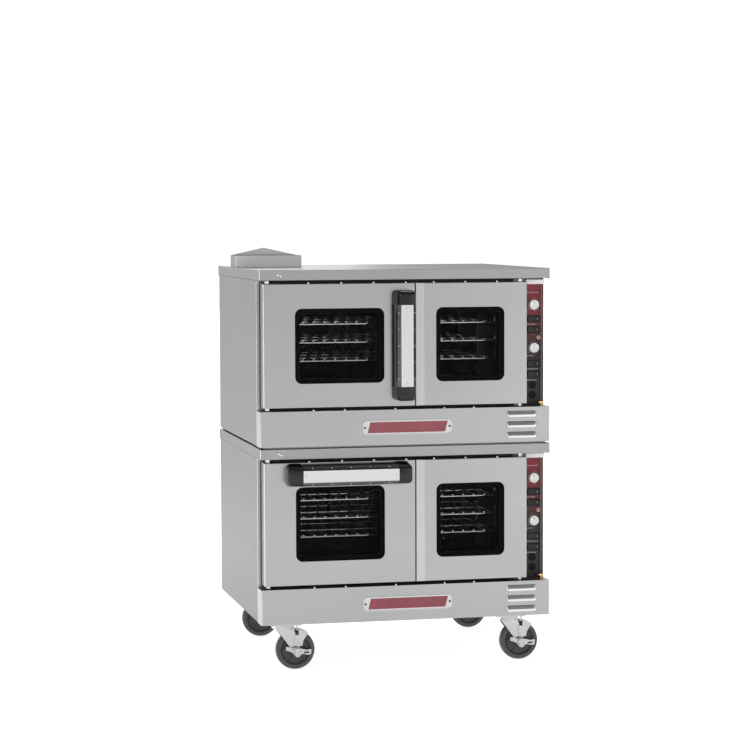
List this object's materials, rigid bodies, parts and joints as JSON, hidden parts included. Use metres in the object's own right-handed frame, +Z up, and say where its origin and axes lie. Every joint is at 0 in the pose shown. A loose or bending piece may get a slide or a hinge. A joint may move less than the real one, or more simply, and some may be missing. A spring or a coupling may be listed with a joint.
{
  "type": "double-deck convection oven",
  "caption": "Double-deck stainless convection oven on swivel casters: paired glass doors, handles, sliding wire racks, side control panels and a rear gas inlet.",
  "frame": {"origin": "on the floor, under the middle of the bounding box", "axes": "+Z up, +X to the operator's right, +Y towards the back; the doors face -Y"},
  "size_m": [0.965, 0.94, 1.357],
  "materials": {
    "stainless_body": "brushed",
    "stainless_panel": "brushed",
    "stainless_door": "brushed",
    "stainless_handle": "satin",
    "door_liner_enamel": "satin",
    "tinted_glass": "clear",
    "black_phenolic": "gloss",
    "rack_chrome": "polished",
    "knob_white": "satin",
    "switch_black": "satin",
    "blower_steel": "satin",
    "zinc_plate": "satin",
    "wheel_rubber": "matte",
    "pin_steel": "satin",
    "cavity_enamel": "gloss",
    "mineral_wool": "matte",
    "motor_cast": "matte",
    "burner_steel": "satin",
    "pipe_black": "matte",
    "control_plate": "satin"
  },
  "bodies": {
    "oven_body": {"caster_mounting_plates": "zinc_plate", "cavity_insulation": "mineral_wool", "cavity_liners": "cavity_enamel", "control_panels": "control_plate", "door_hinge_pins": "pin_steel", "fan_motors": "motor_cast", "flue_box": "stainless_body", "front_panels": "stainless_panel", "gas_burners": "burner_steel", "gas_manifold": "pipe_black", "lower_cabinet_shell": "stainless_body", "rack_guides": "rack_chrome", "top_covers": "stainless_body", "upper_cabinet_shell": "stainless_body"},
    "front_left_brake_lever": {"front_left_brake_lever": "zinc_plate"},
    "front_left_caster_fork": {"front_left_caster_fork": "zinc_plate"},
    "front_left_caster_wheel": {"front_left_caster_wheel": "wheel_rubber"},
    "front_right_brake_lever": {"front_right_brake_lever": "zinc_plate"},
    "front_right_caster_fork": {"front_right_caster_fork": "zinc_plate"},
    "front_right_caster_wheel": {"front_right_caster_wheel": "wheel_rubber"},
    "lower_blower_wheel": {"lower_blower_wheel": "blower_steel"},
    "lower_bottom_rack": {"lower_bottom_rack": "rack_chrome"},
    "lower_cook_cool_switch": {"lower_cook_cool_switch": "switch_black"},
    "lower_fan_switch": {"lower_fan_switch": "switch_black"},
    "lower_left_door": {"lower_handle_face_plate": "stainless_handle", "lower_handle_grip": "black_phenolic", "lower_left_door_glass": "tinted_glass", "lower_left_door_liner": "door_liner_enamel", "lower_left_door_skin": "stainless_door"},
    "lower_light_switch": {"lower_light_switch": "switch_black"},
    "lower_middle_rack": {"lower_middle_rack": "rack_chrome"},
    "lower_power_switch": {"lower_power_switch": "switch_black"},
    "lower_right_door": {"lower_right_door_glass": "tinted_glass", "lower_right_door_liner": "door_liner_enamel", "lower_right_door_skin": "stainless_door"},
    "lower_thermostat_knob": {"lower_thermostat_knob": "knob_white"},
    "lower_timer_knob": {"lower_timer_knob": "knob_white"},
    "lower_top_rack": {"lower_top_rack": "rack_chrome"},
    "rear_left_caster_fork": {"rear_left_caster_fork": "zinc_plate"},
    "rear_left_caster_wheel": {"rear_left_caster_wheel": "wheel_rubber"},
    "rear_right_caster_fork": {"rear_right_caster_fork": "zinc_plate"},
    "rear_right_caster_wheel": {"rear_right_caster_wheel": "wheel_rubber"},
    "upper_blower_wheel": {"upper_blower_wheel": "blower_steel"},
    "upper_bottom_rack": {"upper_bottom_rack": "rack_chrome"},
    "upper_cook_cool_switch": {"upper_cook_cool_switch": "switch_black"},
    "upper_fan_switch": {"upper_fan_switch": "switch_black"},
    "upper_left_door": {"upper_handle_face_plate": "stainless_handle", "upper_handle_grip": "black_phenolic", "upper_left_door_glass": "tinted_glass", "upper_left_door_liner": "door_liner_enamel", "upper_left_door_skin": "stainless_door"},
    "upper_light_switch": {"upper_light_switch": "switch_black"},
    "upper_middle_rack": {"upper_middle_rack": "rack_chrome"},
    "upper_power_switch": {"upper_power_switch": "switch_black"},
    "upper_right_door": {"upper_right_door_glass": "tinted_glass", "upper_right_door_liner": "door_liner_enamel", "upper_right_door_skin": "stainless_door"},
    "upper_thermostat_knob": {"upper_thermostat_knob": "knob_white"},
    "upper_timer_knob": {"upper_timer_knob": "knob_white"},
    "upper_top_rack": {"upper_top_rack": "rack_chrome"}
  },
  "joints": [
    {"name": "lower_left_door_hinge", "type": "hinge", "parent": "oven_body", "child": "lower_left_door", "pos_m": [-0.453, -0.38, 0.475], "axis": [0, 0, -1], "range_deg": [0, 120]},
    {"name": "lower_right_door_hinge", "type": "hinge", "parent": "oven_body", "child": "lower_right_door", "pos_m": [0.387, -0.38, 0.475], "axis": [0, 0, 1], "range_deg": [0, 120]},
    {"name": "lower_bottom_rack_slide", "type": "slide", "parent": "oven_body", "child": "lower_bottom_rack", "axis": [0, -1, 0], "range_m": [0, 0.03]},
    {"name": "lower_middle_rack_slide", "type": "slide", "parent": "oven_body", "child": "lower_middle_rack", "axis": [0, -1, 0], "range_m": [0, 0.03]},
    {"name": "lower_top_rack_slide", "type": "slide", "parent": "oven_body", "child": "lower_top_rack", "axis": [0, -1, 0], "range_m": [0, 0.03]},
    {"name": "lower_thermostat_turn", "type": "hinge", "parent": "oven_body", "child": "lower_thermostat_knob", "pos_m": [0.4495, -0.34, 0.596], "axis": [0, 1, 0], "range_deg": [0, 300]},
    {"name": "lower_timer_turn", "type": "hinge", "parent": "oven_body", "child": "lower_timer_knob", "pos_m": [0.4495, -0.34, 0.454], "axis": [0, 1, 0], "range_deg": [0, 330]},
    {"name": "lower_power_rock", "type": "hinge", "parent": "oven_body", "child": "lower_power_switch", "pos_m": [0.4495, -0.324, 0.549], "axis": [0, 0, 1], "range_deg": [-8, 8]},
    {"name": "lower_fan_rock", "type": "hinge", "parent": "oven_body", "child": "lower_fan_switch", "pos_m": [0.4495, -0.324, 0.513], "axis": [0, 0, 1], "range_deg": [-8, 8]},
    {"name": "lower_cook_cool_rock", "type": "hinge", "parent": "oven_body", "child": "lower_cook_cool_switch", "pos_m": [0.4495, -0.324, 0.401], "axis": [0, 0, 1], "range_deg": [-8, 8]},
    {"name": "lower_light_rock", "type": "hinge", "parent": "oven_body", "child": "lower_light_switch", "pos_m": [0.4495, -0.324, 0.365], "axis": [0, 0, 1], "range_deg": [-8, 8]},
    {"name": "lower_blower_spin", "type": "hinge", "parent": "oven_body", "child": "lower_blower_wheel", "pos_m": [-0.0375, 0.24, 0.48], "axis": [0, 1, 0], "continuous": true},
    {"name": "upper_left_door_hinge", "type": "hinge", "parent": "oven_body", "child": "upper_left_door", "pos_m": [-0.453, -0.38, 1.049], "axis": [0, 0, -1], "range_deg": [0, 120]},
    {"name": "upper_right_door_hinge", "type": "hinge", "parent": "oven_body", "child": "upper_right_door", "pos_m": [0.387, -0.38, 1.049], "axis": [0, 0, 1], "range_deg": [0, 120]},
    {"name": "upper_bottom_rack_slide", "type": "slide", "parent": "oven_body", "child": "upper_bottom_rack", "axis": [0, -1, 0], "range_m": [0, 0.03]},
    {"name": "upper_middle_rack_slide", "type": "slide", "parent": "oven_body", "child": "upper_middle_rack", "axis": [0, -1, 0], "range_m": [0, 0.03]},
    {"name": "upper_top_rack_slide", "type": "slide", "parent": "oven_body", "child": "upper_top_rack", "axis": [0, -1, 0], "range_m": [0, 0.03]},
    {"name": "upper_thermostat_turn", "type": "hinge", "parent": "oven_body", "child": "upper_thermostat_knob", "pos_m": [0.4495, -0.34, 1.17], "axis": [0, 1, 0], "range_deg": [0, 300]},
    {"name": "upper_timer_turn", "type": "hinge", "parent": "oven_body", "child": "upper_timer_knob", "pos_m": [0.4495, -0.34, 1.028], "axis": [0, 1, 0], "range_deg": [0, 330]},
    {"name": "upper_power_rock", "type": "hinge", "parent": "oven_body", "child": "upper_power_switch", "pos_m": [0.4495, -0.324, 1.123], "axis": [0, 0, 1], "range_deg": [-8, 8]},
    {"name": "upper_fan_rock", "type": "hinge", "parent": "oven_body", "child": "upper_fan_switch", "pos_m": [0.4495, -0.324, 1.087], "axis": [0, 0, 1], "range_deg": [-8, 8]},
    {"name": "upper_cook_cool_rock", "type": "hinge", "parent": "oven_body", "child": "upper_cook_cool_switch", "pos_m": [0.4495, -0.324, 0.975], "axis": [0, 0, 1], "range_deg": [-8, 8]},
    {"name": "upper_light_rock", "type": "hinge", "parent": "oven_body", "child": "upper_light_switch", "pos_m": [0.4495, -0.324, 0.939], "axis": [0, 0, 1], "range_deg": [-8, 8]},
    {"name": "upper_blower_spin", "type": "hinge", "parent": "oven_body", "child": "upper_blower_wheel", "pos_m": [-0.0375, 0.24, 1.054], "axis": [0, 1, 0], "continuous": true},
    {"name": "front_left_swivel", "type": "hinge", "parent": "oven_body", "child": "front_left_caster_fork", "pos_m": [-0.4, -0.37, 0.14], "axis": [0, 0, 1], "continuous": true},
    {"name": "front_left_roll", "type": "hinge", "parent": "front_left_caster_fork", "child": "front_left_caster_wheel", "pos_m": [-0.366, -0.37, 0.0635], "axis": [0, 1, 0], "continuous": true},
    {"name": "front_left_brake", "type": "hinge", "parent": "front_left_caster_fork", "child": "front_left_brake_lever", "pos_m": [-0.366, -0.397, 0.0635], "axis": [0, 1, 0], "range_deg": [-18, 18]},
    {"name": "front_right_swivel", "type": "hinge", "parent": "oven_body", "child": "front_right_caster_fork", "pos_m": [0.352, -0.37, 0.14], "axis": [0, 0, 1], "continuous": true},
    {"name": "front_right_roll", "type": "hinge", "parent": "front_right_caster_fork", "child": "front_right_caster_wheel", "pos_m": [0.386, -0.37, 0.0635], "axis": [0, 1, 0], "continuous": true},
    {"name": "front_right_brake", "type": "hinge", "parent": "front_right_caster_fork", "child": "front_right_brake_lever", "pos_m": [0.386, -0.397, 0.0635], "axis": [0, 1, 0], "range_deg": [-18, 18]},
    {"name": "rear_left_swivel", "type": "hinge", "parent": "oven_body", "child": "rear_left_caster_fork", "pos_m": [-0.4, 0.27, 0.14], "axis": [0, 0, 1], "continuous": true},
    {"name": "rear_left_roll", "type": "hinge", "parent": "rear_left_caster_fork", "child": "rear_left_caster_wheel", "pos_m": [-0.366, 0.27, 0.0635], "axis": [0, 1, 0], "continuous": true},
    {"name": "rear_right_swivel", "type": "hinge", "parent": "oven_body", "child": "rear_right_caster_fork", "pos_m": [0.352, 0.27, 0.14], "axis": [0, 0, 1], "continuous": true},
    {"name": "rear_right_roll", "type": "hinge", "parent": "rear_right_caster_fork", "child": "rear_right_caster_wheel", "pos_m": [0.386, 0.27, 0.0635], "axis": [0, 1, 0], "continuous": true}
  ],
  "couplings": [
    {"joint": "lower_right_door_hinge", "follows": "lower_left_door_hinge", "ratio": 1},
    {"joint": "upper_right_door_hinge", "follows": "upper_left_door_hinge", "ratio": 1}
  ]
}
